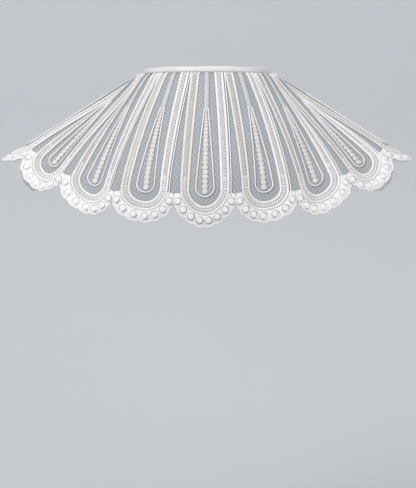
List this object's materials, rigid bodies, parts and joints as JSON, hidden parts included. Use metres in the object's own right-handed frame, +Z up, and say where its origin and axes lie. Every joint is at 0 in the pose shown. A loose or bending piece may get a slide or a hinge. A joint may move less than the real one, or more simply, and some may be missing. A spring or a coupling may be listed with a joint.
{
  "type": "detachable peter pan collar",
  "caption": "Detachable cape-like peter pan collar of embroidered net with a narrow neck band, petal-shaped ladder braids and a scalloped hem, held in the form it takes when worn.",
  "frame": {"origin": "the middle of the neck opening, level with the neck band at the back, where a neck holds the collar", "axes": "+Z up, the wearer's back faces -Y, the front opening faces +Y, +X across the shoulders to the wearer's right"},
  "size_m": [0.4984, 0.2883, 0.1943],
  "materials": {
    "net": "fine matte diamond net",
    "braid": "matte off-white embroidery thread",
    "cord": "satin white embroidery thread",
    "band": "smooth woven binding",
    "clasp": "plain satin metal"
  },
  "bodies": {
    "root": {"net_ground": "net", "neck_band": "band", "scallop_border": "braid", "front_clasp": "clasp", "braid_01": "braid", "braid_02": "braid", "braid_03": "braid", "braid_04": "braid", "braid_05": "braid", "braid_06": "braid", "braid_07": "braid", "braid_08": "braid", "braid_09": "braid", "braid_10": "braid", "braid_11": "braid", "braid_12": "braid", "braid_13": "braid", "braid_14": "braid", "braid_15": "braid", "stem_loop_01": "cord", "stem_loop_02": "cord", "stem_loop_03": "cord", "stem_loop_04": "cord", "stem_loop_05": "cord", "stem_loop_06": "cord", "stem_loop_07": "cord", "stem_loop_08": "cord", "stem_loop_09": "cord", "stem_loop_10": "cord", "stem_loop_11": "cord", "stem_loop_12": "cord", "stem_loop_13": "cord", "stem_loop_14": "cord", "stem_loop_15": "cord", "dot_column_01": "cord", "dot_column_02": "cord", "dot_column_03": "cord", "dot_column_04": "cord", "dot_column_05": "cord", "dot_column_06": "cord", "dot_column_07": "cord", "dot_column_08": "cord", "dot_column_09": "cord", "dot_column_10": "cord", "dot_column_11": "cord", "dot_column_12": "cord", "dot_column_13": "cord", "dot_column_14": "cord", "dot_column_15": "cord"}
  },
  "joints": []
}
